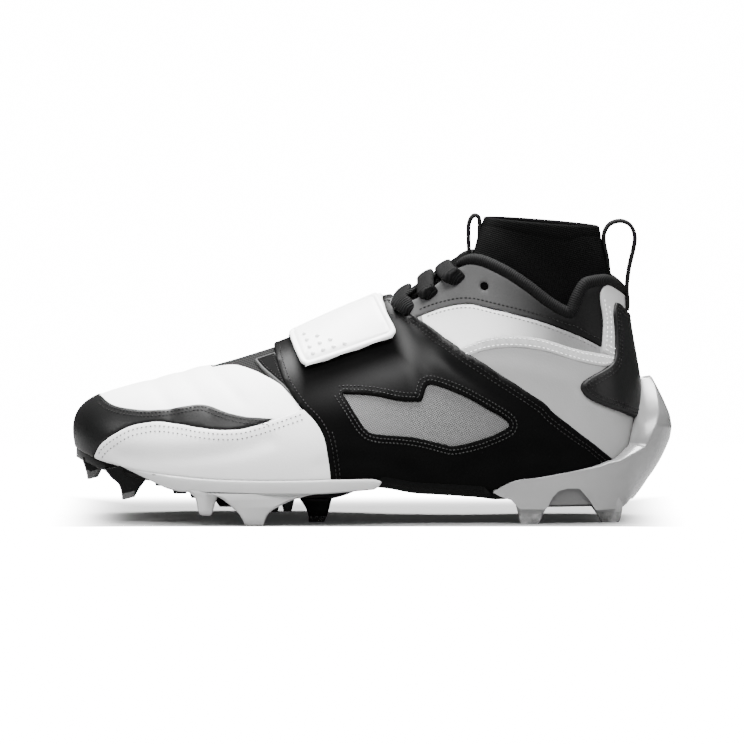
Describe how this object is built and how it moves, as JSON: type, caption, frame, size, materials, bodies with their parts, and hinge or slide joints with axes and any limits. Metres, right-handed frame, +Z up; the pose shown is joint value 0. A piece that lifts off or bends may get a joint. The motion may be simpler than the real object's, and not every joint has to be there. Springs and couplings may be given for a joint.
{
  "type": "american football cleat",
  "caption": "Black and white american football cleat for the left foot, with an ankle cuff, laces under a closing strap, and moulded studs.",
  "frame": {"origin": "centre of the bounding box, on the ground under the studs", "axes": "+X towards the heel, +Y towards the inner side of the foot, +Z up"},
  "size_m": [0.3034, 0.1094, 0.1563],
  "materials": {
    "black_leather": "satin",
    "white_leather": "satin",
    "pale_leather": "satin",
    "grey_leather": "satin",
    "black_knit": "matte",
    "black_lace": "matte",
    "black_plate": "gloss",
    "white_plate": "gloss",
    "milky_plate": "gloss",
    "white_strap": "satin"
  },
  "bodies": {
    "root": {"outsole": "black_plate", "lateral_rail": "white_plate", "medial_rail": "white_plate", "heel_cup": "milky_plate", "insole": "black_knit", "upper": "black_knit", "tongue": "black_knit", "vamp": "white_leather", "toe_cap": "black_leather", "side_panel_lateral": "pale_leather", "side_panel_medial": "pale_leather", "saddle": "black_leather", "quarter": "pale_leather", "eyestay_lateral": "grey_leather", "eyestay_medial": "grey_leather", "heel_overlay": "pale_leather", "heel_patch": "black_leather", "strap": "white_strap", "strap_tab": "white_strap", "collar_roll": "black_knit", "cuff": "black_knit", "front_loop": "black_knit", "rear_loop": "black_knit", "laces": "black_lace"}
  },
  "joints": []
}
